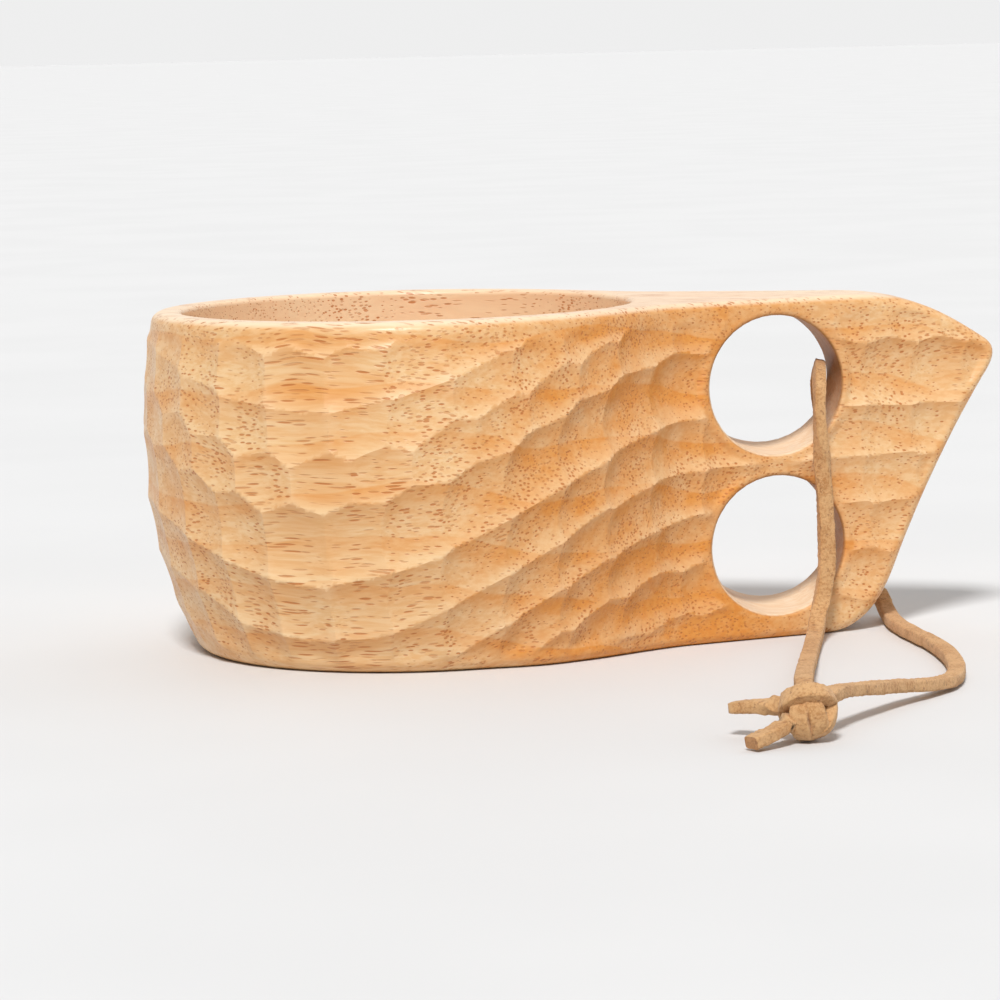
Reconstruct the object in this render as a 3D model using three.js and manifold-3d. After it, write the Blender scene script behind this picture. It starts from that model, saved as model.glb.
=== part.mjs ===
// Kuksa: a drinking cup carved from one block of wood, with a leather lace tied through its handle.
// Millimetres, +Z up. The cup stands on z = 0, the bowl is at -X and the handle runs to +X.
// The origin is under the middle of the cup. The lace lies in front of the handle, at -Y.

import * as THREE from "three";
import { mergeVertices } from "three/addons/utils/BufferGeometryUtils.js";
import Module from "manifold-3d";

const wasm = await Module();
wasm.setup();

// Driving dimensions of the cup. Distances along the handle are measured from the bowl's axis.
const cupHeight = 63.5;
const bellyRadius = 49.5;       // the bowl's widest ring
const bellyHeight = 39;
const footFlare = 0.0061;       // how fast the wall draws in below the belly, per mm
const rimFlare = 0.0035;        // and above it
const edgeRound = 1.2;          // broken edges at the foot and the rim
const mouthRadius = 42;
const floorHeight = 9;
const sweepRadius = 36;         // of the curve between the inside wall and its floor
const handleRoot = 20;          // the handle starts inside the bowl's block, this far from its axis
const handleReach = 110.5;      // from the bowl's axis to the tip of the tail
const fingerRadius = 13;
const fingerDistance = 67.6;    // from the bowl's axis to both finger holes
const fingerHeights = [17.5, 47.4];
const bowlX = (bellyRadius - handleReach) / 2;

// Half the handle's thickness, as [distance from the bowl's axis, half thickness].
const handleHalves = [
  [handleRoot, 34], [32, 30], [40, 25.3], [48, 20.9], [58, 17],
  [68, 13.4], [80, 9.4], [95, 6.2], [112, 4.2],
];

// Driving dimensions of the lace.
const laceWidth = 3;
const laceStep = 6;             // distance between the tube's rings
const knotRadii = [4.4, 4.4, 4.8];
const knotCentre = [24.8, -123.5, 4.95];

// How finely round shapes are divided.
const roundSides = 56;
const profileRows = 12;
const sideSegments = 10;
const planSegments = 24;
const laceSides = 8;
const knotSegments = [20, 14];

const wood = new THREE.MeshStandardMaterial({ color: 0xe0ab6e, roughness: 0.45, metalness: 0 });
const leather = new THREE.MeshStandardMaterial({ color: 0xc9986a, roughness: 0.85, metalness: 0 });

// Booleans work on solids, and solids go back to plain geometry at the end.
function toSolid(geometry) {
  const bare = geometry.clone();
  bare.deleteAttribute("normal");
  bare.deleteAttribute("uv");
  const merged = mergeVertices(bare, 1e-4);
  const vertProperties = new Float32Array(merged.attributes.position.array);
  const triVerts = new Uint32Array(merged.index.array);
  return new wasm.Manifold(new wasm.Mesh({ numProp: 3, vertProperties, triVerts }));
}

function toGeometry(solid) {
  const mesh = solid.getMesh();
  const geometry = new THREE.BufferGeometry();
  geometry.setAttribute("position", new THREE.BufferAttribute(mesh.vertProperties, 3));
  geometry.setIndex(new THREE.BufferAttribute(mesh.triVerts, 1));
  geometry.computeVertexNormals();
  return geometry;
}

// A turned body about the bowl's axis, from [radius, height] pairs listed from the bottom up.
function turned(profile) {
  const points = profile.map(([radius, height]) => new THREE.Vector2(radius, height));
  const geometry = new THREE.LatheGeometry(points, roundSides);
  geometry.rotateX(Math.PI / 2);
  geometry.translate(bowlX, 0, 0);
  return toSolid(geometry);
}

function outerRadius(height) {
  const flare = height < bellyHeight ? footFlare : rimFlare;
  return bellyRadius - flare * (height - bellyHeight) ** 2;
}

// The bowl's outside is barrel shaped: it swells from the foot to the belly and draws in at the rim.
function bowlBlock() {
  const profile = [[0, 0], [outerRadius(0) - edgeRound, 0]];
  const span = cupHeight - 2 * edgeRound;
  for (let row = 0; row <= profileRows; row += 1) {
    const height = edgeRound + (span * row) / profileRows;
    profile.push([outerRadius(height), height]);
  }
  profile.push([outerRadius(cupHeight) - edgeRound, cupHeight], [0, cupHeight]);
  return turned(profile);
}

// The inside has a straight wall, then one round sweep down to a small flat floor.
function cavityBlock() {
  const sweepHeight = floorHeight + sweepRadius;
  const profile = [[0, floorHeight]];
  for (let row = 0; row <= profileRows; row += 1) {
    const angle = (Math.PI / 2) * (row / profileRows);
    const radius = mouthRadius - sweepRadius * (1 - Math.sin(angle));
    profile.push([radius, sweepHeight - sweepRadius * Math.cos(angle)]);
  }
  const above = cupHeight + edgeRound;
  profile.push([mouthRadius, cupHeight - edgeRound], [mouthRadius + 2 * edgeRound, above], [0, above]);
  return turned(profile);
}

// The handle seen from the side: a full-height plate whose far end leans out to a tail.
function handleSide() {
  const shape = new THREE.Shape();
  shape.moveTo(handleRoot, 0);
  shape.lineTo(77, 0);
  shape.bezierCurveTo(84, 0, 88, 5.5, 90.4, 11.2);
  shape.bezierCurveTo(95.2, 23.2, 102.1, 37.1, 108.6, 47.2);
  shape.bezierCurveTo(111, 50.6, 111.4, 52.9, 108.6, 54.6);
  shape.bezierCurveTo(101.5, 59.3, 95, cupHeight, 82, cupHeight);
  shape.lineTo(handleRoot, cupHeight);
  shape.closePath();
  const width = 2 * bellyRadius;
  const settings = { depth: width, bevelEnabled: false, curveSegments: sideSegments };
  const geometry = new THREE.ExtrudeGeometry(shape, settings);
  geometry.rotateX(Math.PI / 2);
  geometry.translate(bowlX, width / 2, 0);
  return toSolid(geometry);
}

// The handle seen from above: it flows out of the bowl's shoulders and tapers to the tail.
function handlePlan() {
  const near = new THREE.SplineCurve(handleHalves.map(([x, half]) => new THREE.Vector2(x, -half)));
  const far = new THREE.SplineCurve(handleHalves.map(([x, half]) => new THREE.Vector2(x, half)).reverse());
  const shape = new THREE.Shape([...near.getPoints(planSegments), ...far.getPoints(planSegments)]);
  const overshoot = 1;
  const settings = { depth: cupHeight + 2 * overshoot, bevelEnabled: false };
  const geometry = new THREE.ExtrudeGeometry(shape, settings);
  geometry.translate(bowlX, 0, -overshoot);
  return toSolid(geometry);
}

function fingerHole(height) {
  const geometry = new THREE.CylinderGeometry(fingerRadius, fingerRadius, 2 * bellyRadius, roundSides);
  geometry.translate(bowlX + fingerDistance, 0, height);
  return toSolid(geometry);
}

function cupBody() {
  let cup = bowlBlock().add(handleSide().intersect(handlePlan())).subtract(cavityBlock());
  for (const height of fingerHeights) {
    cup = cup.subtract(fingerHole(height));
  }
  return toGeometry(cup);
}

// One length of lace, as an eight-sided tube along a smooth curve.
function laceTube(route) {
  const points = route.map((point) => new THREE.Vector3(...point));
  const curve = new THREE.CatmullRomCurve3(points, false, "centripetal");
  const circle = new THREE.EllipseCurve(0, 0, laceWidth / 2, laceWidth / 2);
  const section = new THREE.Shape(circle.getPoints(laceSides).slice(0, laceSides));
  const steps = Math.max(3, Math.round(curve.getLength() / laceStep));
  return new THREE.ExtrudeGeometry(section, { steps, extrudePath: curve });
}

// From the knot the lace lies on the table, climbs in front of the handle, arches through the upper
// finger hole, drops behind the handle, and comes forward round its lower corner, back to the knot.
const loopRoute = [
  [25.3, -118.2, 7.4], [26.0, -112.8, 8.0], [30.1, -87.3, 5.2], [34.1, -63.9, 2.9], [39.4, -36.4, 1.7],
  [42.5, -22.0, 2.7], [44.4, -16.5, 6.7], [45.8, -14.6, 12.6], [46.0, -13.9, 20.6], [45.5, -13.9, 32.3],
  [45.0, -14.3, 40.7], [45.1, -13.8, 46.2], [45.8, -9.5, 49.1], [46.9, -2.5, 49.6], [47.9, 4.5, 48.4],
  [48.3, 9.9, 45.6], [49.2, 13.2, 40.4], [51.5, 13.4, 31.0], [54.3, 13.0, 22.0], [57.0, 13.0, 13.5],
  [59.4, 12.2, 6.6], [60.7, 7.0, 2.3], [59.8, -9.3, 1.7], [60.6, -23.6, 1.7], [61.8, -34.7, 1.7],
  [62.0, -49.5, 1.7], [60.2, -66.0, 1.7], [56.8, -78.0, 1.9], [52.2, -84.9, 2.4], [45.5, -92.8, 3.6],
  [37.7, -103.8, 5.2], [32.4, -111.9, 6.3], [28.3, -119.2, 6.6],
];
const upperTailRoute = [[20.1, -121.3, 5.6], [17.6, -119.2, 5.5], [13.9, -116.3, 5.0]];
const lowerTailRoute = [[21.0, -126.6, 3.6], [18.6, -128.6, 2.8], [14.6, -131.2, 1.7]];

// The knot is one overhand knot tied in both ends of the lace, pulled into a ball.
function knotBall() {
  const geometry = new THREE.SphereGeometry(1, ...knotSegments);
  geometry.scale(...knotRadii);
  return geometry;
}

const model = new THREE.Group();

function addPart(name, geometry, material, position = [0, 0, 0]) {
  const part = new THREE.Mesh(geometry, material);
  part.name = name;
  part.position.set(...position);
  model.add(part);
}

addPart("cup_body", cupBody(), wood);
addPart("lace_loop", laceTube(loopRoute), leather);
addPart("lace_knot", knotBall(), leather, knotCentre);
addPart("lace_tail_upper", laceTube(upperTailRoute), leather);
addPart("lace_tail_lower", laceTube(lowerTailRoute), leather);

export default model;
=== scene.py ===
"""Looks of the kuksa: a carved wooden cup and its knotted leather lace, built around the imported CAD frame."""
import math

import bpy
import numpy as np
from mathutils import Matrix, Vector


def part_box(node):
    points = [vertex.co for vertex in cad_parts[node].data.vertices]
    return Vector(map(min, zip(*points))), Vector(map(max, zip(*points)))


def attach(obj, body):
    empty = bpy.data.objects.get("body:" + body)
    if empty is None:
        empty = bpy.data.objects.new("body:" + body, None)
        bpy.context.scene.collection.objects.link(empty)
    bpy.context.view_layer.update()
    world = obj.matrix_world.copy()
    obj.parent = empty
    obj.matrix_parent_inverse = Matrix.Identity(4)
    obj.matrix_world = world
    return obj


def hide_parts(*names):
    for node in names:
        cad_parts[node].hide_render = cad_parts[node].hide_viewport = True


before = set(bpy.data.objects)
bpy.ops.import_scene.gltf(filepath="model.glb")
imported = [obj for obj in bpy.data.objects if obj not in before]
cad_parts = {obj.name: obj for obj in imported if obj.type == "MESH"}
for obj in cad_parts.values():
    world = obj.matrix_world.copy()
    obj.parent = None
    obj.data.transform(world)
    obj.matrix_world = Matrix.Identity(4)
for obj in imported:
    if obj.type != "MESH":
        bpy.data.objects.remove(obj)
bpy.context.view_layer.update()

MM = 0.001
cup_low, cup_high = (np.array(corner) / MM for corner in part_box("cup_body"))
knot_low, knot_high = (np.array(corner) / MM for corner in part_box("lace_knot"))

# Driving dimensions, in millimetres. The bowl is as wide as the cup, and sits at its -X end. The bowl's side
# falls in from its widest level by the flare times the square of the height from there.
HEIGHT = cup_high[2]
BELLY_RADIUS = (cup_high[1] - cup_low[1]) / 2
BOWL_X = cup_low[0] + BELLY_RADIUS
BELLY_HEIGHT = 39.0
FOOT_FLARE = 0.0061
RIM_FLARE = 0.0035
MOUTH_RADIUS = 42.0
FLOOR_HEIGHT = 9.0
SWEEP_RADIUS = 36.0             # of the curve from the bowl's floor up into its wall
FINGER_RADIUS = 13.0
FINGER_DISTANCE = 67.6          # from the bowl's axis
FINGER_HEIGHTS = (17.5, 47.4)
EDGE_ROUND = 1.8
LIP_ROUND = 1.0
HOLE_ROUND = 0.9
LACE_WIDTH = 3.0
LACE_THICKNESS = 2.1
LACE_SQUARENESS = 0.32          # 1 makes the lace round, and 0 square


# ---------------------------------------------------------------- camera

SENSOR_WIDTH, LENS = 36, 144.66
CAMERA_PLACE = (BOWL_X - 42.7, -750.3, 112.3)
YAW, PITCH, ROLL = 4.53, 6.53, -1.35        # in degrees: to the right, down, and about the view


def make_camera():
    """Stands in front of the bowl and a little above the rim, with a long lens."""
    data = bpy.data.cameras.new("camera")
    data.sensor_width = SENSOR_WIDTH
    data.lens = LENS
    data.clip_start = 0.05
    camera = bpy.data.objects.new("camera", data)
    yaw, pitch, roll = (math.radians(angle) for angle in (YAW, PITCH, ROLL))
    turn = Matrix.Rotation(-yaw, 4, "Z") @ Matrix.Rotation(math.pi / 2 - pitch, 4, "X")
    turn = turn @ Matrix.Rotation(roll, 4, "Z")
    place = Vector(CAMERA_PLACE) * MM
    camera.matrix_world = Matrix.Translation(place) @ turn
    bpy.context.scene.collection.objects.link(camera)
    bpy.context.scene.camera = camera


make_camera()


# ---------------------------------------------------------------- the cup's shape, as a signed distance in mm

def bezier(p0, p1, p2, p3):
    """Points along one cubic curve, without its first."""
    t = np.linspace(0, 1, 14)[1:, None]
    p0, p1, p2, p3 = (np.array(p) for p in (p0, p1, p2, p3))
    return (1 - t) ** 3 * p0 + 3 * (1 - t) ** 2 * t * p1 + 3 * (1 - t) * t ** 2 * p2 + t ** 3 * p3


def handle_outline():
    """The handle from the side, as (distance from the bowl's axis, height)."""
    parts = [
        [(-80, 0), (77, 0)],
        bezier((77, 0), (84, 0), (88, 5.5), (90.4, 11.2)),
        bezier((90.4, 11.2), (95.2, 23.2), (102.1, 37.1), (108.6, 47.2)),
        bezier((108.6, 47.2), (111, 50.6), (111.4, 52.9), (108.6, 54.6)),
        bezier((108.6, 54.6), (101.5, 59.3), (95, HEIGHT), (82, HEIGHT)),
        [(-80, HEIGHT)],
    ]
    return np.vstack(parts)


def polygon_distance(px, pz, corners):
    """Signed distance to a closed polygon, negative inside."""
    nearest = np.full(np.broadcast(px, pz).shape, 1e9)
    sign = np.ones(nearest.shape)
    for (ax, az), (bx, bz) in zip(corners, np.roll(corners, -1, axis=0)):
        ex, ez = bx - ax, bz - az
        wx, wz = px - ax, pz - az
        t = np.clip((wx * ex + wz * ez) / (ex * ex + ez * ez), 0, 1)
        nearest = np.minimum(nearest, (wx - ex * t) ** 2 + (wz - ez * t) ** 2)
        above, below, left = pz >= az, pz < bz, ex * wz > ez * wx
        crosses = (above & below & left) | (~above & ~below & ~left)
        sign = np.where(crosses, -sign, sign)
    return sign * np.sqrt(nearest)


def unit(vectors):
    return vectors / np.maximum(np.linalg.norm(vectors, axis=-1, keepdims=True), 1e-9)


def smooth_union(a, b, reach):
    """The lesser of two distances, blended where they differ by less than reach."""
    h = np.clip(0.5 + 0.5 * (b - a) / reach, 0, 1)
    return b * (1 - h) + a * h - reach * h * (1 - h)


def rounded_both(a, b, radius):
    """The common part of two solids, with its edge rounded."""
    corner = np.sqrt(np.maximum(a + radius, 0) ** 2 + np.maximum(b + radius, 0) ** 2)
    return np.minimum(np.maximum(a, b), -radius) + corner


def outer_radius(z):
    """The bowl's radius outside, at a height."""
    return BELLY_RADIUS - np.where(z < BELLY_HEIGHT, FOOT_FLARE, RIM_FLARE) * (z - BELLY_HEIGHT) ** 2


# Half the handle's thickness, at stations along X from the bowl's axis.
PLAN_X = np.array([0, 8, 16, 22, 32, 40, 48, 58, 68, 80, 95, 112, 130.0])
PLAN_HALF = np.array([20, 27, 32, 33, 29.3, 24.9, 20.7, 17, 13.4, 9.4, 6.2, 4.2, 3.4])


def half_width(x):
    """Half the handle's thickness at a distance from the bowl's axis, smoothed over 8 mm."""
    fine = np.arange(0, 130, 0.25)
    halves = np.interp(fine, PLAN_X, PLAN_HALF)
    kernel = np.hanning(33)
    padded = np.pad(halves, 16, mode="reflect", reflect_type="odd")
    smooth = np.convolve(padded, kernel / kernel.sum(), mode="valid")
    return np.interp(x, fine, smooth)


def smooth_step(low, high, value):
    """Rises from 0 at low to 1 at high. With high below low, it falls."""
    t = np.clip((value - low) / (high - low), 0, 1)
    return t * t * (3 - 2 * t)


# The gouge's cuts lie in rows. On the handle the rows are level, and round the bowl they sag, deepest at an
# angle round the bowl's axis that is a little past the front. Sizes are in mm and angles in degrees from +X.
ROW_EDGES = np.array([-12, -3, 6.5, 15.6, 24.4, 33.3, 42.8, 54.8, 62.4, 70.2, 79, 88])
ROW_SHIFTS = np.array([3, 8, 2, 6, 7.4, 7.4, 7.9, 1.8, 6.1, 7.0, 2.5])
SAG_START, SAG_DEEPEST = 2.2, 114.5
SAG_DEPTH, SAG_SPREAD = 31.9, 0.141
SAG_LOST = 0.48                 # the share of the sag that is lost again opposite the handle
COLUMN_WIDTH = 11.2
GOUGE_RADIUS = 13.0
STROKE_RADII = (13.0, 50.0)     # at its steep start and its long end, on the handle and the neck
ROUND_SCOOP_RADIUS = 20.0       # at both ends, on the far side of the bowl
ROUND_FROM, ROUND_BY = 95, 125
STROKE_SHIFT = 1.8
STROKE_BEND = 0.05
LEAST_DEPTH = 0.45
UNEVEN_ALONG, UNEVEN_ACROSS, UNEVEN_DEPTH, UNEVEN_TILT = 0.9, 0.25, 0.09, 0.02
RIDGE_BLEND = 0.12
HIGHEST_RIDGE = 0.2
MEAN_CUT = 0.66                 # the cup's smooth sides are its mean surface, so the cuts lie round them
NO_CUT = -9.0


def angle_round(x, y):
    """The angle from the handle round the bowl's axis, to either side, in degrees."""
    return np.degrees(np.abs(np.arctan2(y, x)))


def row_height(x, y, z):
    """The height on the handle of the row that passes through a point."""
    angle = angle_round(x, y)
    falling = np.sin(np.pi / 2 * np.clip((angle - SAG_START) / (SAG_DEEPEST - SAG_START), 0, 1)) ** 3
    rising = np.sin(np.pi / 2 * np.clip((angle - SAG_DEEPEST) / (180 - SAG_DEEPEST), 0, 1)) ** 2
    sag = falling - SAG_LOST * rising
    return (z + SAG_DEPTH * sag) / (1 + SAG_SPREAD * sag)


def way_round(x, y):
    """Distance in mm along the surface, from the handle's front, round the bowl, to the handle's back."""
    angle = np.abs(np.arctan2(y, x))
    meet = math.radians(40)
    meet_x = BELLY_RADIUS * math.cos(meet)
    on_bowl = BELLY_RADIUS * angle
    on_handle = BELLY_RADIUS * meet - (x - meet_x) * 1.07
    share = smooth_step(meet_x - 8, meet_x + 8, x)
    front = on_bowl * (1 - share) + on_handle * share
    return np.where(y > 0, 2 * math.pi * BELLY_RADIUS - front, front)


def cuts_near(x, y, z):
    """The depths in mm of the nine cuts nearest each point, each with how high in the cut the point lies."""
    rng = np.random.default_rng(7)
    spare = 6
    columns = int(2 * math.pi * BELLY_RADIUS / COLUMN_WIDTH) + 2 * spare + 2
    rows = len(ROW_EDGES) - 1
    jitter = rng.uniform(-1, 1, (4, rows, columns))
    v = row_height(x, y, z)
    u = way_round(x, y)
    row = np.clip(np.searchsorted(ROW_EDGES, v) - 1, 0, rows - 1)
    roundness = smooth_step(ROUND_FROM, ROUND_BY, angle_round(x, y))
    start, end = (radius * (1 - roundness) + ROUND_SCOOP_RADIUS * roundness for radius in STROKE_RADII)
    shift = STROKE_SHIFT * (1 - roundness)
    for row_step in (-1, 0, 1):
        r = np.clip(row + row_step, 0, rows - 1)
        half = (ROW_EDGES[r + 1] - ROW_EDGES[r]) / 2
        middle = (ROW_EDGES[r + 1] + ROW_EDGES[r]) / 2
        column = np.floor((u - ROW_SHIFTS[r]) / COLUMN_WIDTH).astype(int)
        for column_step in (-1, 0, 1):
            c = column + column_step
            k = np.clip(c + spare, 0, columns - 1)
            du = u - (c + 0.5) * COLUMN_WIDTH - ROW_SHIFTS[r] - UNEVEN_ALONG * jitter[0, r, k]
            dv = v - middle - UNEVEN_ACROSS * jitter[1, r, k]
            bent = du + STROKE_BEND * (1 - roundness) * dv * dv - shift
            lengthwise = bent ** 2 / (2 * np.where(bent > 0, start, end))
            depth = half ** 2 / (2 * GOUGE_RADIUS) + LEAST_DEPTH + UNEVEN_DEPTH * jitter[2, r, k]
            tilt = UNEVEN_TILT * jitter[3, r, k] * du
            cut = depth - dv ** 2 / (2 * GOUGE_RADIUS) - lengthwise + tilt
            yield np.where(r == row + row_step, cut, NO_CUT), dv / half


def gouge_cuts(x, y, z):
    """How deep the gouge has cut, in mm."""
    deepest = NO_CUT
    for cut, _ in cuts_near(x, y, z):
        deepest = -smooth_union(-deepest, -cut, RIDGE_BLEND)
    return np.maximum(deepest, -HIGHEST_RIDGE)


def ridge_gap(x, y, z):
    """By how much the deepest cut is deeper than the next: 0 on the ridge between two cuts."""
    cuts = np.stack([cut for cut, _ in cuts_near(x, y, z)])
    second, first = np.partition(cuts, -2, axis=0)[-2:]
    return first - second


def height_in_cut(x, y, z):
    """From -1 at the lower edge of the deepest cut to 1 at its upper edge, and 0 where nothing is cut."""
    cuts, heights = (np.stack(values) for values in zip(*cuts_near(x, y, z)))
    height = np.take_along_axis(heights, cuts.argmax(axis=0)[None], axis=0)[0]
    return np.clip(height, -1, 1) * gouge_share(x, y, z) * on_side(x, y, z)


OUTLINE = handle_outline()


def side_faces(x, y, z):
    """The signed distance to the upright outside of the bowl and handle, without the gouge's cuts."""
    slope = 2 * np.where(z < BELLY_HEIGHT, FOOT_FLARE, RIM_FLARE) * (z - BELLY_HEIGHT)
    bowl = (np.hypot(x, y) - outer_radius(z)) / np.sqrt(1 + slope ** 2)
    half = half_width(x)
    plan = np.maximum((np.abs(y) - half) * 0.93, -x)
    reach = 13 - 6 * smooth_step(0, HEIGHT, z)
    return smooth_union(bowl, plan, reach)


def on_side(x, y, z):
    """Whether a point is on the outside, where the gouge could reach."""
    return np.abs(side_faces(x, y, z)) < 1.5


def gouge_share(x, y, z):
    """Where the gouge went: not along the rim, the foot, the handle's edges or the finger holes."""
    outline = polygon_distance(x, z, OUTLINE)
    share = smooth_step(2.5, 5.0, HEIGHT - z) * smooth_step(1.5, 4.5, z)
    on_handle = smooth_step(30, 60, x)
    share = share * (1 - on_handle * (1 - smooth_step(3.5, 8.0, z)))
    for height in FINGER_HEIGHTS:
        share = share * smooth_step(0.8, 2.6, np.hypot(x - FINGER_DISTANCE, z - height) - FINGER_RADIUS)
    on_neck = smooth_step(5, 30, x) * smooth_step(75, 50, x)
    at_end = smooth_step(125, 165, angle_round(x, y))
    strength = 0.95 + 0.2 * on_neck - 0.4 * at_end
    return share * smooth_step(-0.5, -2.5, outline) * strength


def cup_distance(x, y, z):
    """Signed distance to the finished cup, negative in the wood. x is from the bowl's axis."""
    side = side_faces(x, y, z)
    near = np.abs(side) < 4
    side = np.array(np.broadcast_to(side, np.broadcast(x, y, z).shape))
    at = np.broadcast_arrays(x, y, z)
    picked = tuple(a[near] for a in at)
    side[near] += (gouge_cuts(*picked) - MEAN_CUT) * gouge_share(*picked)
    slab = np.maximum(-z, z - HEIGHT)
    outline = np.maximum(polygon_distance(x, z, OUTLINE), slab)
    body = rounded_both(side, outline, EDGE_ROUND)
    wall = np.hypot(x, y) - MOUTH_RADIUS
    floor = FLOOR_HEIGHT - z
    cavity = np.minimum(np.maximum(wall, floor), -SWEEP_RADIUS)
    cavity = cavity + np.hypot(np.maximum(wall + SWEEP_RADIUS, 0), np.maximum(floor + SWEEP_RADIUS, 0))
    body = rounded_both(body, -cavity, LIP_ROUND)
    for height in FINGER_HEIGHTS:
        hole = np.hypot(x - FINGER_DISTANCE, z - height) - FINGER_RADIUS
        body = rounded_both(body, -hole, HOLE_ROUND)
    return body


# ---------------------------------------------------------------- meshing

def surface_net(distance, low, high, step):
    """One vertex in each cell that the surface crosses, and one quad across each crossed grid edge."""
    axes = [np.arange(a, b + step, step) for a, b in zip(low, high)]
    grid = distance(axes[0][:, None, None], axes[1][None, :, None], axes[2][None, None, :])
    inside = grid < 0
    nx, ny, nz = (n - 1 for n in grid.shape)
    cells = np.zeros((nx, ny, nz), np.int8)
    for i in (0, 1):
        for j in (0, 1):
            for k in (0, 1):
                cells += inside[i:nx + i, j:ny + j, k:nz + k]
    crossed = (cells > 0) & (cells < 8)
    number = np.full(cells.shape, -1)
    number[crossed] = np.arange(crossed.sum())
    points = np.stack(np.nonzero(crossed), axis=1) + 0.5
    points = points * step + np.array([a[0] for a in axes])
    quads = []
    for axis in range(3):
        along = np.moveaxis(inside, axis, 0)
        names = np.moveaxis(number, axis, 0)
        changes = along[:-1, 1:-1, 1:-1] != along[1:, 1:-1, 1:-1]
        a, b, c = np.nonzero(changes)
        around = [names[a, b, c], names[a, b + 1, c], names[a, b + 1, c + 1], names[a, b, c + 1]]
        quad = np.stack(around, axis=1)
        flip = along[:-1, 1:-1, 1:-1][a, b, c]
        if axis == 1:
            flip = ~flip
        quad[~flip] = quad[~flip][:, ::-1]
        quads.append(quad)
    return points, np.vstack(quads)


def gradient(distance, points, reach=0.05):
    """The slope of a distance at each point: on a surface, the direction out of it."""
    found = np.zeros(points.shape)
    for axis in range(3):
        shift = np.zeros(3)
        shift[axis] = reach
        ahead, behind = (points + shift).T, (points - shift).T
        found[:, axis] = (distance(*ahead) - distance(*behind)) / (2 * reach)
    return found


def settle(distance, points, rounds=3):
    """Moves points onto the surface."""
    for _ in range(rounds):
        slope = gradient(distance, points)
        size = np.maximum((slope ** 2).sum(1), 0.25)
        points = points - (distance(*points.T) / size)[:, None] * slope
    return points


LEAST_AREA_LEFT = 0.15
LEAST_SHARE = 0.3               # of the gouge's depth, for a ridge to be kept sharp
BESIDE_RIDGE = 0.3              # mm from a ridge to where the normals of its two sides are read


def merge_plain(points, quads, plain, block_size):
    """Where the surface is plain, merges each block's vertices, and drops the faces that this flattens."""
    block = np.floor((points - points.min(axis=0)) / block_size).astype(int)
    key = np.ravel_multi_index(block.T, block.max(axis=0) + 1)
    key[~plain] = -1 - np.nonzero(~plain)[0]
    _, group, size = np.unique(key, return_inverse=True, return_counts=True)
    merged = np.stack([np.bincount(group, column) / size for column in points.T], axis=1)
    faces = []
    for quad in group[quads].tolist():
        corners = [corner for corner, last in zip(quad, quad[-1:] + quad) if corner != last]
        if len(set(corners)) == len(corners) > 2:
            faces.append(corners)
    return merged, faces


def put_back_folds(before, after, faces, moved):
    """Puts back the points whose move would fold a face over."""
    here = np.concatenate(faces)
    ahead = np.concatenate([face[1:] + face[:1] for face in faces])
    behind = np.concatenate([face[-1:] + face[:-1] for face in faces])

    def corner_areas(points):
        return np.cross(points[ahead] - points[here], points[behind] - points[here])

    was = corner_areas(before)
    for _ in range(4):
        folded = (was * corner_areas(after)).sum(1) < LEAST_AREA_LEFT * (was ** 2).sum(1)
        back = np.concatenate([here[folded], ahead[folded], behind[folded]])
        after[back] = before[back]
        moved[back] = False


def snap_to_ridges(points, faces, reach):
    """Moves the points within reach of a ridge onto it. Returns which moved, and their ways off the ridge."""
    gap = ridge_gap(*points.T)
    slope = gradient(ridge_gap, points, 0.005)
    size = np.maximum(np.linalg.norm(slope, axis=1), 0.1)
    away = slope / size[:, None]
    cut = (gouge_share(*points.T) > LEAST_SHARE) & on_side(*points.T)
    moved = cut & (gap < reach * size)
    snapped = points.copy()
    snapped[moved] = settle(cup_distance, (points - (gap / size)[:, None] * away)[moved], 1)
    put_back_folds(points, snapped, faces, moved)
    return snapped, moved, away


def split_along_ridges(faces, on_ridge):
    """Splits each quad that a ridge crosses from corner to corner, along the ridge."""
    split = []
    for face in faces:
        across = [on_ridge[corner] for corner in face]
        if across == [True, False, True, False]:
            split += [face[:3], [face[2], face[3], face[0]]]
        elif across == [False, True, False, True]:
            split += [face[1:], [face[3], face[0], face[1]]]
        else:
            split.append(face)
    return split


def corner_values(mesh, points, on_ridge, away, measure):
    """A measure at each corner of each face. On a ridge, it is the one on the face's side."""
    corners = np.zeros(len(mesh.loops), int)
    mesh.loops.foreach_get("vertex_index", corners)
    sizes = np.zeros(len(mesh.polygons), int)
    mesh.polygons.foreach_get("loop_total", sizes)
    starts = np.cumsum(sizes) - sizes
    centres = np.add.reduceat(points[corners], starts) / sizes[:, None]
    to_centre = np.repeat(centres, sizes, axis=0) - points[corners]
    side = np.sign((to_centre * away[corners]).sum(1))
    found = measure(points)[corners]
    for sign in (-1, 1):
        beside = measure(points + sign * BESIDE_RIDGE * away)
        chosen = on_ridge[corners] & (side == sign)
        found[chosen] = beside[corners[chosen]]
    return found


def new_mesh_object(name, points, faces, material):
    """A smooth-shaded mesh from points in mm."""
    mesh = bpy.data.meshes.new(name)
    mesh.from_pydata((points * MM).tolist(), [], faces)
    mesh.validate()
    mesh.shade_smooth()
    mesh.materials.append(material)
    piece = bpy.data.objects.new(name, mesh)
    bpy.context.scene.collection.objects.link(piece)
    return piece


GRID_STEP = 0.69
GRID_MARGIN = 2
CELLS_MERGED = 4                # along each side of a block, where the surface is plain
RIDGE_LAYER = "ridge"           # from 0 in a cut's hollow to 1 on a ridge between two cuts
CUT_LAYER = "height_in_cut"     # from -1 at the lower edge of a cut to 1 at its upper edge


def add_layer(mesh, name, domain, values):
    layer = mesh.attributes.new(name, "FLOAT", domain)
    layer.data.foreach_set("value", values.astype(np.float32))


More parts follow.
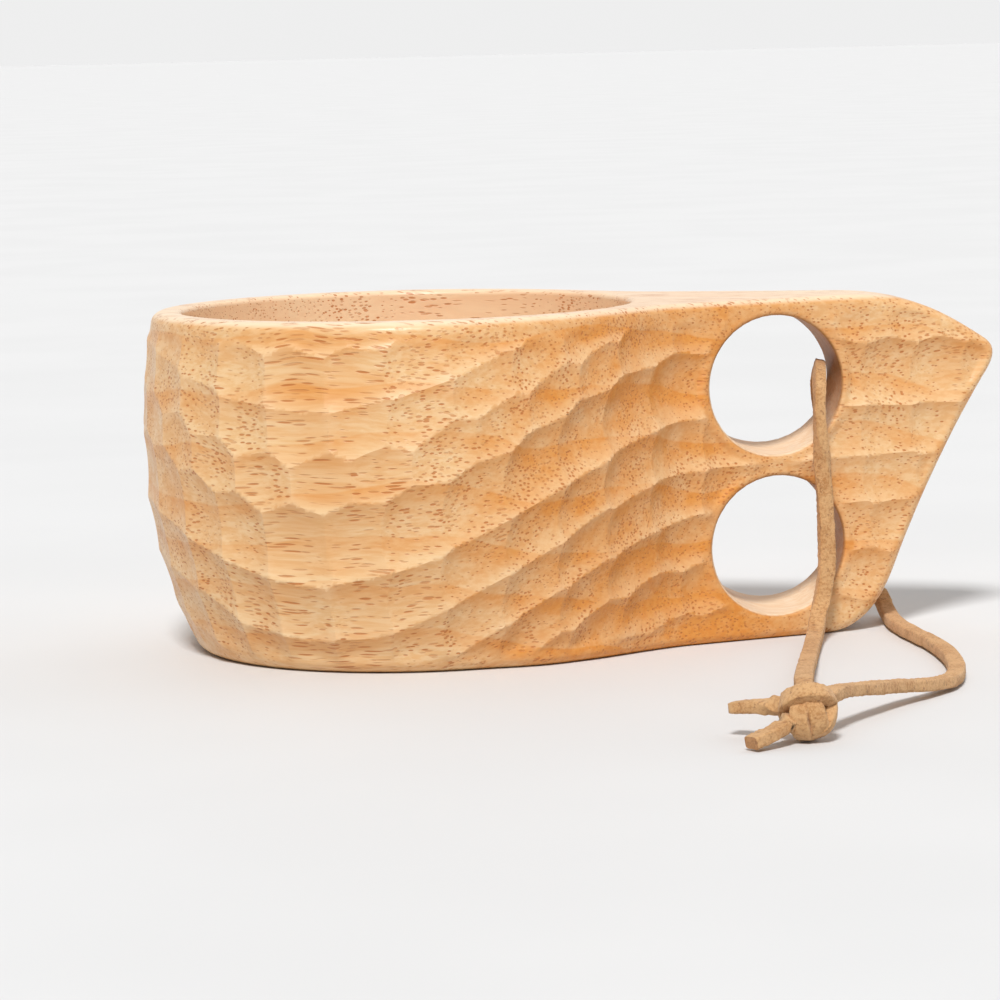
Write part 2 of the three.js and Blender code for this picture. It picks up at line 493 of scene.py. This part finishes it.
def plain_parts(x, y, z):
    """The inside of the bowl below its lip, and the underside of its foot."""
    from_axis = np.hypot(x, y)
    inside = (from_axis < outer_radius(z) - 4) & (z > FLOOR_HEIGHT - 2) & (z < HEIGHT - 3)
    underneath = (z < 1) & (from_axis < BELLY_RADIUS - 15)
    return inside | underneath


def make_cup(material):
    """The whole cup as one closed mesh, with an edge along each ridge that the gouge left."""
    to_axis = np.array([BOWL_X, 0, 0])
    low = np.array(cup_low) - to_axis - GRID_MARGIN
    high = np.array(cup_high) - to_axis + GRID_MARGIN
    points, quads = surface_net(cup_distance, low, high, GRID_STEP)
    points, faces = merge_plain(points, quads, plain_parts(*points.T), CELLS_MERGED * GRID_STEP)
    points = settle(cup_distance, points)
    points, on_ridge, away = snap_to_ridges(points, faces, GRID_STEP / 2)
    faces = split_along_ridges(faces, on_ridge.tolist())
    cup = new_mesh_object("carved_cup", points + to_axis, faces, material)
    at_corners = (cup.data, points, on_ridge, away)
    heights = corner_values(*at_corners, lambda places: height_in_cut(*places.T))
    add_layer(cup.data, CUT_LAYER, "CORNER", heights)
    normals = corner_values(*at_corners, lambda places: unit(gradient(cup_distance, places)))
    cup.data.normals_split_custom_set(normals.tolist())
    ridge = smooth_step(0.55, 0.0, gouge_cuts(*points.T)) * gouge_share(*points.T)
    add_layer(cup.data, RIDGE_LAYER, "POINT", ridge * on_side(*points.T))
    return cup


# ---------------------------------------------------------------- materials

class Shader:
    """A material's node tree, with one short call for each node."""

    def __init__(self, name):
        self.material = bpy.data.materials.new(name)
        self.material.use_nodes = True
        self.tree = self.material.node_tree
        self.surface = self.tree.nodes["Principled BSDF"]

    def add(self, kind, inputs, output=0, **settings):
        node = self.tree.nodes.new("ShaderNode" + kind)
        for name, value in settings.items():
            setattr(node, name, value)
        for name, value in inputs.items():
            self.put(node.inputs[name], value)
        return node.outputs[output]

    def put(self, socket, value):
        if isinstance(value, bpy.types.NodeSocket):
            self.tree.links.new(value, socket)
        else:
            socket.default_value = value

    def math(self, operation, a, b=0.0):
        return self.add("Math", {0: a, 1: b}, operation=operation)

    def ramp(self, value, low, high, to_low=0.0, to_high=1.0):
        inputs = {"Value": value, "From Min": low, "From Max": high, "To Min": to_low, "To Max": to_high}
        return self.add("MapRange", inputs, interpolation_type="SMOOTHSTEP")

    def mix(self, share, a, b, blend="MIX"):
        inputs = {0: share, 6: a, 7: b}
        return self.add("Mix", inputs, output=2, data_type="RGBA", blend_type=blend)

    def place(self, turn=0.0):
        """Object coordinates in mm, turned about Z."""
        here = self.add("TexCoord", {}, output="Object")
        return self.add("Mapping", {"Vector": here, "Rotation": (0, 0, turn), "Scale": (1000, 1000, 1000)})

    def axes(self, place):
        """The three parts of a place."""
        return (self.add("SeparateXYZ", {"Vector": place}, output=axis) for axis in "XYZ")

    def stretch(self, place, scale):
        return self.add("VectorMath", {0: place, 1: scale}, operation="MULTIPLY")

    def distance(self, a, b):
        """The length of the line from a corner that is a along one axis and b along another."""
        square = self.math("ADD", self.math("MULTIPLY", a, a), self.math("MULTIPLY", b, b))
        return self.math("SQRT", square)

    def noise(self, place, size, detail=2.0, roughness=0.5):
        inputs = {"Vector": place, "Scale": 1 / size, "Detail": detail, "Roughness": roughness}
        return self.add("TexNoise", inputs)

    def finish(self, colour, roughness, height, depth):
        """Sets colour and roughness, and a bump whose depth is in mm."""
        bump = self.add("Bump", {"Height": height, "Distance": depth * MM, "Strength": 1.0})
        self.put(self.surface.inputs["Base Color"], colour)
        self.put(self.surface.inputs["Roughness"], roughness)
        self.put(self.surface.inputs["Normal"], bump)
        return self.material


GRAIN_TURN = 0.401              # turns the wood's grain direction onto the texture's X
RING_WIDTH = 9.2                # mm between growth rings
LIGHT_WOOD = (0.78, 0.515, 0.268, 1)
DARK_WOOD = (0.70, 0.285, 0.055, 1)
# Painted shade just under each ridge, and painted light just over the ridge below.
PAINTED_SHADE_UNDER_RIDGE = (0.64, 0.27, 0.062, 1)
PAINTED_LIGHT_OVER_RIDGE = (0.90, 0.69, 0.42, 1)
# Partly rubbed wear and partly painted highlight on the ridges between cuts.
RUBBED_AND_HIGHLIT_RIDGE = (0.93, 0.74, 0.50, 1)
# Painted light: the paler colour of the bowl's inside and of the flat top.
PAINTED_LIGHT_WOOD = (0.95, 0.79, 0.58, 1)
PORE = (0.50, 0.16, 0.033, 1)
# Painted shade on the upper wall of each finger hole, and painted light on its lower wall.
BORED_PAINTED_SHADE, BORED_PAINTED_LIGHT = (0.34, 0.17, 0.07, 1), (0.93, 0.78, 0.58, 1)
FLECKS = (0.97, 0.88, 0.76, 1), (1.03, 1.05, 1.08, 1)


def bored_wall(wood):
    """A mask of the finger holes' unlacquered walls, and how far down and to the left in its hole a point of
    the wall lies: its share of painted light, against painted shade higher up.
    """
    here, _, level = wood.axes(wood.place())
    side = wood.math("SUBTRACT", here, BOWL_X + FINGER_DISTANCE)
    masks, lit_shares = [], []
    for height in FINGER_HEIGHTS:
        rise = wood.math("SUBTRACT", level, height)
        mask = wood.ramp(wood.distance(side, rise), FINGER_RADIUS + 0.5, FINGER_RADIUS + 0.1)
        # Painted light grows towards the lower left of each hole's wall, and painted shade towards the upper
        # right.
        slant = wood.math("ADD", rise, wood.math("MULTIPLY", side, 0.55))
        masks.append(mask)
        lit_shares.append(wood.math("MULTIPLY", mask, wood.ramp(slant, 3, -7)))
    return wood.math("MAXIMUM", *masks), wood.math("MAXIMUM", *lit_shares)


def painted_light_parts(wood):
    """A mask of the bowl's inside and the flat top, which are painted paler: painted light, for the light that
    falls on them from above.
    """
    here, aside, level = wood.axes(wood.place())
    from_axis = wood.distance(wood.math("SUBTRACT", here, BOWL_X), aside)
    in_bowl = wood.ramp(from_axis, MOUTH_RADIUS + 1.0, MOUTH_RADIUS + 0.2)
    above_floor = wood.ramp(level, FLOOR_HEIGHT - 2, FLOOR_HEIGHT - 1)
    bowl = wood.math("MULTIPLY", wood.math("MULTIPLY", in_bowl, above_floor), 0.85)
    return wood.math("MAXIMUM", bowl, wood.ramp(level, HEIGHT - 1.2, HEIGHT - 0.3))


def bent_grain(wood, place):
    """Places moved a little across the grain, so that the fibres wander."""
    bend = wood.add("TexNoise", {"Vector": place, "Scale": 1 / 14, "Detail": 1.0}, output="Color")
    bend = wood.add("VectorMath", {0: bend, 1: (0.5, 0.5, 0.5)}, operation="SUBTRACT")
    bend = wood.stretch(bend, (0, 2.4, 2.4))
    return wood.add("VectorMath", {0: place, 1: bend}, operation="ADD")


def open_pores(wood, place, grain):
    """A mask of short dashes along the grain, in crowds, and how strong to draw each."""
    stretched = wood.stretch(grain, (0.15, 1.75, 1.75))
    distance = wood.add("TexVoronoi", {"Vector": stretched, "Scale": 1.0}, output="Distance")
    cell = wood.add("TexVoronoi", {"Vector": stretched, "Scale": 1.0}, output="Color")
    crowding = wood.noise(place, 9.0)
    radius = wood.ramp(crowding, 0.33, 0.64, 0.20, 0.385)
    pores = wood.ramp(wood.math("SUBTRACT", radius, distance), -0.05, 0.10)
    tint = wood.add("SeparateColor", {"Color": cell})
    return pores, wood.math("MULTIPLY", pores, wood.ramp(tint, 0.0, 1.0, 0.36, 0.88))


def growth_rings(wood, place, grain):
    """A mask that darkens towards the edge of each growth ring."""
    _, across, height = wood.axes(grain)
    wander = wood.math("MULTIPLY", wood.noise(place, 40.0, 1.0), 16.0)
    layer = wood.math("ADD", wood.math("ADD", height, wander), wood.math("MULTIPLY", across, 0.10))
    ring = wood.math("FRACT", wood.math("DIVIDE", layer, RING_WIDTH))
    return wood.math("MULTIPLY", wood.ramp(ring, 0.45, 0.93), wood.ramp(ring, 1.0, 0.95))


def wood_material():
    """Pale, straight-grained hardwood with open brown pores, under a thin satin lacquer."""
    wood = Shader("lacquered_wood")
    place = wood.place(turn=GRAIN_TURN)
    grain = bent_grain(wood, place)
    pores, pore_strength = open_pores(wood, place, grain)
    along_fibres = wood.stretch(grain, (0.04, 1, 1))
    fibres = wood.noise(along_fibres, 0.7, 3.0, 0.6)
    streaks = wood.noise(along_fibres, 3.2, 2.0, 0.55)
    cloud = wood.noise(place, 22.0)

    # From light to dark wood. The neck is darker: partly darker wood, and partly painted shade for its turn
    # away from the light.
    along, _, _ = wood.axes(wood.place())
    neck_tone_and_shade = wood.math("MULTIPLY", wood.ramp(along, -32, 8), wood.ramp(along, 50, 28))
    tone = wood.math("ADD", wood.math("MULTIPLY", neck_tone_and_shade, 0.48), wood.ramp(cloud, 0.3, 0.75, 0.0, 0.36))
    tone = wood.math("ADD", tone, wood.math("MULTIPLY", growth_rings(wood, place, grain), 0.36))
    tone = wood.math("ADD", tone, wood.ramp(streaks, 0.3, 0.7, -0.10, 0.22))
    tone = wood.math("MINIMUM", wood.math("MAXIMUM", tone, 0.0), 1.0)
    colour = wood.mix(tone, LIGHT_WOOD, DARK_WOOD)
    fleck = wood.mix(wood.ramp(fibres, 0.36, 0.64), *FLECKS)
    colour = wood.mix(1.0, colour, fleck, "MULTIPLY")

    # Painted shade and painted light: each cut is darker under the ridge above it, where it faces down, away
    # from the light from above, and paler over the ridge below, where it faces up.
    # The ridges between cuts are paler: partly rubbed wear, and partly painted highlight.
    ridge = wood.add("Attribute", {}, output="Fac", attribute_name=RIDGE_LAYER)
    colour = wood.mix(wood.math("MULTIPLY", ridge, 0.16), colour, RUBBED_AND_HIGHLIT_RIDGE)
    # Painted shade under each ridge and painted light over the ridge below, by the height in the cut.
    in_cut = wood.add("Attribute", {}, output="Fac", attribute_name=CUT_LAYER)
    painted_shade_under_ridge = wood.math("MULTIPLY", wood.ramp(in_cut, 0.35, 1.0), wood.ramp(neck_tone_and_shade, 0.0, 1.0, 0.38, 0.06))
    colour = wood.mix(painted_shade_under_ridge, colour, PAINTED_SHADE_UNDER_RIDGE)
    colour = wood.mix(wood.ramp(in_cut, -0.3, -1.0, 0.0, 0.22), colour, PAINTED_LIGHT_OVER_RIDGE)
    # Painted light on the bowl's inside and the flat top.
    colour = wood.mix(wood.math("MULTIPLY", painted_light_parts(wood), 0.62), colour, PAINTED_LIGHT_WOOD)
    colour = wood.mix(pore_strength, colour, PORE)

    bored, lit_low_side = bored_wall(wood)
    # Bare wood in the finger holes, with painted light low on the left of each wall and painted shade high on
    # the right.
    bare_with_painted_light = wood.mix(1.0, wood.mix(lit_low_side, BORED_PAINTED_SHADE, BORED_PAINTED_LIGHT), fleck, "MULTIPLY")
    colour = wood.mix(wood.math("MULTIPLY", bored, 0.75), colour, bare_with_painted_light)
    lacquer = wood.ramp(streaks, 0.3, 0.7, 0.36, 0.48)
    roughness = wood.math("ADD", lacquer, wood.math("MULTIPLY", bored, 0.35))
    relief = wood.math("SUBTRACT", wood.math("MULTIPLY", fibres, 0.25), pores)
    wood.surface.inputs["Specular IOR Level"].default_value = 0.4
    wood.surface.inputs["Coat Weight"].default_value = 0.12
    wood.surface.inputs["Coat Roughness"].default_value = 0.22
    return wood.finish(colour, roughness, relief, 0.05)


LEATHER_FACE = (0.66, 0.385, 0.175, 1), (0.47, 0.225, 0.08, 1)      # pale, dark
LEATHER_CUT = (0.55, 0.27, 0.10, 1), (0.36, 0.15, 0.05, 1)
LEATHER_SPECK = (0.30, 0.13, 0.05, 1)


def leather_material(name, pale, dark):
    """Undyed split leather: matt, with a short nap, darker flecks and rubbed patches."""
    leather = Shader(name)
    place = leather.place()
    patches = leather.noise(place, 4.0, 3.0)
    nap = leather.noise(place, 0.5, 4.0, 0.75)
    specks = leather.noise(place, 0.8)
    patch_tone = leather.ramp(patches, 0.35, 0.65, 0.0, 0.6)
    tone = leather.math("ADD", patch_tone, leather.ramp(nap, 0.42, 0.62, -0.25, 0.5))
    tone = leather.math("MINIMUM", leather.math("MAXIMUM", tone, 0.0), 1.0)
    colour = leather.mix(tone, pale, dark)
    colour = leather.mix(leather.ramp(specks, 0.60, 0.72, 0.0, 0.7), colour, LEATHER_SPECK)
    leather.surface.inputs["Specular IOR Level"].default_value = 0.2
    leather.surface.inputs["Sheen Weight"].default_value = 0.25
    leather.surface.inputs["Sheen Roughness"].default_value = 0.6
    leather.surface.inputs["Sheen Tint"].default_value = (1.0, 0.86, 0.7, 1)
    return leather.finish(colour, 0.85, nap, 0.25)


def floor_material():
    """Matt and nearly white, with a faint cloudiness."""
    floor = Shader("pale_floor")
    cloud = floor.noise(floor.place(), 90.0)
    shade = floor.ramp(cloud, 0.3, 0.7, 0.70, 0.72)
    colour = floor.add("CombineColor", {0: shade, 1: shade, 2: shade})
    return floor.finish(colour, 0.7, cloud, 0.01)


# ---------------------------------------------------------------- the lace

# The route is the one that the frame's lace solids follow, in mm.
UPPER_TAIL = [(13.9, -116.3, 5.0), (17.6, -119.2, 5.5), (20.1, -121.3, 5.6)]
LOOP = [
    (25.3, -118.2, 7.4), (26.0, -112.8, 8.0), (30.1, -87.3, 5.2), (34.1, -63.9, 2.9), (39.4, -36.4, 1.7),
    (42.5, -22.0, 2.7), (44.4, -16.5, 6.7), (45.8, -14.6, 12.6), (46.0, -13.9, 20.6), (45.5, -13.9, 32.3),
    (45.0, -14.3, 40.7), (45.1, -13.8, 46.2), (45.8, -9.5, 49.1), (46.9, -2.5, 49.6), (47.9, 4.5, 48.4),
    (48.3, 9.9, 45.6), (49.2, 13.2, 40.4), (51.5, 13.4, 31.0), (54.3, 13.0, 22.0), (57.0, 13.0, 13.5),
    (59.4, 12.2, 6.6), (60.7, 7.0, 2.3), (59.8, -9.3, 1.7), (60.6, -23.6, 1.7), (61.8, -34.7, 1.7),
    (62.0, -49.5, 1.7), (60.2, -66.0, 1.7), (56.8, -78.0, 1.9), (52.2, -84.9, 2.4), (45.5, -92.8, 3.6),
    (37.7, -103.8, 5.2), (32.4, -111.9, 6.3), (28.3, -119.2, 6.6),
]
LOWER_TAIL = [(21.0, -126.6, 3.6), (18.6, -128.6, 2.8), (14.6, -131.2, 1.7)]

# Both ends go through the knot: each wraps round the outside once. Measured in mm from the knot's
# middle, to the right, up and towards the front.
FIRST_PASS = [
    (-2.2, 0.6, 0.2), (0.4, -0.6, -1.2), (2.4, -1.4, -2.6), (3.3, 0.8, -2.0), (3.3, 2.1, 0.6),
    (1.6, 3.1, 2.3), (-1.0, 3.2, 2.4), (-3.2, 2.0, 1.0), (-3.4, 0.0, -1.0), (-2.0, -2.4, -1.6),
    (0.4, -3.6, 0.2), (1.3, -2.2, 2.7), (0.7, 0.4, 3.0), (0.2, 2.0, 0.9), (0.3, 2.5, -1.8),
]
SECOND_PASS = [
    (2.2, 1.9, -1.4), (-0.6, 1.6, 1.2), (-1.7, -0.2, 3.0), (-1.3, -2.6, 2.7), (-0.2, -3.7, 0.4),
    (1.4, -3.0, -2.2), (2.6, -0.6, -2.9), (3.7, 0.6, -0.9), (3.5, -0.9, 1.2), (2.2, -2.6, 1.8),
    (0.4, -2.4, 0.8), (-1.8, -1.9, 0.8),
]
KNOT = (knot_low + knot_high) / 2
KNOT_REACH = 6.5
RING_CORNERS = 20
UNEVEN_LACE = 0.10


def knot_points(passes):
    """The points of a pass in the model's own frame."""
    return [tuple(KNOT + np.array((right, -front, up))) for right, up, front in passes]


def smooth_path(points, spacing):
    """A centripetal Catmull-Rom curve through the points, as evenly spaced places."""
    points = np.array(points, float)
    points = np.vstack([2 * points[0] - points[1], points, 2 * points[-1] - points[-2]])
    dense = []
    for p0, p1, p2, p3 in zip(points, points[1:], points[2:], points[3:]):
        k1 = np.linalg.norm(p1 - p0) ** 0.5
        k2 = k1 + np.linalg.norm(p2 - p1) ** 0.5
        k3 = k2 + np.linalg.norm(p3 - p2) ** 0.5
        t = np.linspace(k1, k2, 40, endpoint=False)[:, None]
        a1 = (k1 - t) / k1 * p0 + t / k1 * p1
        a2 = (k2 - t) / (k2 - k1) * p1 + (t - k1) / (k2 - k1) * p2
        a3 = (k3 - t) / (k3 - k2) * p2 + (t - k2) / (k3 - k2) * p3
        b1 = (k2 - t) / k2 * a1 + t / k2 * a2
        b2 = (k3 - t) / (k3 - k1) * a2 + (t - k1) / (k3 - k1) * a3
        dense.append((k2 - t) / (k2 - k1) * b1 + (t - k1) / (k2 - k1) * b2)
    dense = np.vstack(dense + [points[-2:-1]])
    run = np.concatenate([[0], np.cumsum(np.linalg.norm(np.diff(dense, axis=0), axis=1))])
    even = np.linspace(0, run[-1], int(run[-1] / spacing) + 1)
    return np.stack([np.interp(even, run, dense[:, axis]) for axis in range(3)], axis=1)


def running_mean(values, half):
    kernel = np.hanning(2 * half + 3)[1:-1]
    padded = np.pad(values, ((half, half), (0, 0)), mode="edge")
    return np.stack([np.convolve(column, kernel / kernel.sum(), "valid") for column in padded.T], axis=1)


def flat_side(path):
    """Which way the lace's flat side faces: out of the knot, up on the table, or off the wood."""
    from_knot = path - KNOT
    near_knot = 1 - smooth_step(KNOT_REACH - 1.5, KNOT_REACH + 3, np.linalg.norm(from_knot, axis=1))[:, None]
    height = path[:, 2:3]
    front = path[:, 1:2] < -5
    hanging = smooth_step(3, 9, height) * (path[:, 1:2] > -30)
    off_wood = np.where(front, np.array([0.2, -1, 0.1]), np.array([0.3, 1, 0.1]))
    at_hole = smooth_step(22, 44, height)
    off_wood = off_wood * (1 - at_hole) + np.array([-1.0, 0, 0.25]) * at_hole
    facing = np.array([0, 0, 1.0]) * (1 - hanging) + off_wood * hanging
    facing = facing * (1 - near_knot) + unit(from_knot) * near_knot
    return running_mean(facing, 4)


def lace_rings(path):
    """The corners of a squared section at each place of the path, a little uneven in width and thickness."""
    forward = unit(np.gradient(path, axis=0))
    facing = flat_side(path)
    facing = unit(facing - (facing * forward).sum(1, keepdims=True) * forward)
    across = np.cross(forward, facing)
    rng = np.random.default_rng(3)
    drift = running_mean(rng.normal(0, 1, (len(path), 2)), 9)
    angles = (np.arange(RING_CORNERS) + 0.5) * 2 * math.pi / RING_CORNERS
    cosines, sines = np.cos(angles), np.sin(angles)
    section_x = np.sign(cosines) * np.abs(cosines) ** LACE_SQUARENESS * LACE_WIDTH / 2
    section_y = np.sign(sines) * np.abs(sines) ** LACE_SQUARENESS * LACE_THICKNESS / 2
    width = 1 + UNEVEN_LACE * drift[:, :1]
    thickness = 1 + UNEVEN_LACE * drift[:, 1:]
    rough = rng.normal(0, 0.045, (len(path), RING_CORNERS))
    side = (section_x * width + rough)[:, :, None] * across[:, None, :]
    up = (section_y * thickness + rough)[:, :, None] * facing[:, None, :]
    resting = 0.3 * (facing[:, None, 2:3] > 0.9) * np.array([0, 0, -1.0])
    return path[:, None, :] + side + up + resting


def make_lace():
    """One lace from tail to tail, with its two passes through the knot."""
    points = UPPER_TAIL + knot_points(FIRST_PASS) + LOOP + knot_points(SECOND_PASS) + LOWER_TAIL
    path = smooth_path(points, 0.5)
    faces = []
    for ring in range(len(path) - 1):
        for k in range(RING_CORNERS):
            a, b = ring * RING_CORNERS + k, ring * RING_CORNERS + (k + 1) % RING_CORNERS
            faces.append((a, b, b + RING_CORNERS, a + RING_CORNERS))
    last = (len(path) - 1) * RING_CORNERS
    faces.append(tuple(range(RING_CORNERS))[::-1])
    faces.append(tuple(range(last, last + RING_CORNERS)))
    face_leather = leather_material("split_leather", *LEATHER_FACE)
    lace = new_mesh_object("leather_lace", lace_rings(path).reshape(-1, 3), faces, face_leather)
    lace.data.materials.append(leather_material("cut_leather", *LEATHER_CUT))
    for polygon in lace.data.polygons[-2:]:
        polygon.material_index = 1
        polygon.use_smooth = False
    length = np.linalg.norm(np.diff(path, axis=0), axis=1).sum()
    return lace, path, length


lace, lace_path, lace_length = make_lace()
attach(lace, "root")
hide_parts("lace_loop", "lace_knot", "lace_tail_upper", "lace_tail_lower")
tuple(np.array(UPPER_TAIL[0]) * MM)

cup = make_cup(wood_material())
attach(cup, "root")
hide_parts("cup_body")


# ---------------------------------------------------------------- floor and light

FLOOR_REACH = 30.0              # metres from the middle to each side


def make_floor():
    mesh = bpy.data.meshes.new("floor")
    corners = [(x * FLOOR_REACH, y * FLOOR_REACH, 0) for x, y in ((-1, -1), (1, -1), (1, 1), (-1, 1))]
    mesh.from_pydata(corners, [], [(0, 1, 2, 3)])
    mesh.materials.append(floor_material())
    floor = bpy.data.objects.new("floor", mesh)
    bpy.context.scene.collection.objects.link(floor)


def make_light(name, direction, spread, power):
    """A far, soft light that falls the same on the cup and on all of the floor."""
    data = bpy.data.lights.new(name, "SUN")
    data.angle = math.radians(spread)
    data.energy = power
    light = bpy.data.objects.new(name, data)
    light.rotation_euler = Vector(direction).to_track_quat("Z", "Y").to_euler()
    bpy.context.scene.collection.objects.link(light)


DIM, BRIGHT = 0.22, 0.86        # the light's strength from the darkest side and from the brightest
LEAN_TO_RIGHT = 0.45


def make_world():
    """A pale room, brightest behind the cup and to its right."""
    world = bpy.data.worlds.new("room")
    bpy.context.scene.world = world
    world.use_nodes = True
    tree = world.node_tree
    place = tree.nodes.new("ShaderNodeTexCoord")
    split = tree.nodes.new("ShaderNodeSeparateXYZ")
    ramp = tree.nodes.new("ShaderNodeMapRange")
    ramp.interpolation_type = "SMOOTHSTEP"
    for name, value in (("From Min", -0.4), ("From Max", 0.6), ("To Min", DIM), ("To Max", BRIGHT)):
        ramp.inputs[name].default_value = value
    tree.links.new(place.outputs["Generated"], split.inputs[0])
    lean = tree.nodes.new("ShaderNodeMath")
    lean.operation = "MULTIPLY_ADD"
    lean.inputs[1].default_value = LEAN_TO_RIGHT
    tree.links.new(split.outputs["X"], lean.inputs[0])
    tree.links.new(split.outputs["Y"], lean.inputs[2])
    tree.links.new(lean.outputs[0], ramp.inputs["Value"])
    tree.links.new(ramp.outputs[0], tree.nodes["Background"].inputs["Strength"])
    tree.nodes["Background"].inputs["Color"].default_value = (1, 1, 1, 1)


make_floor()
make_light("key", (-0.14, -0.60, 0.78), 12, 3.0)
make_light("fill", (0.75, -0.6, 0.3), 40, 0.05)
make_world()
bpy.context.scene.view_settings.view_transform = "Standard"
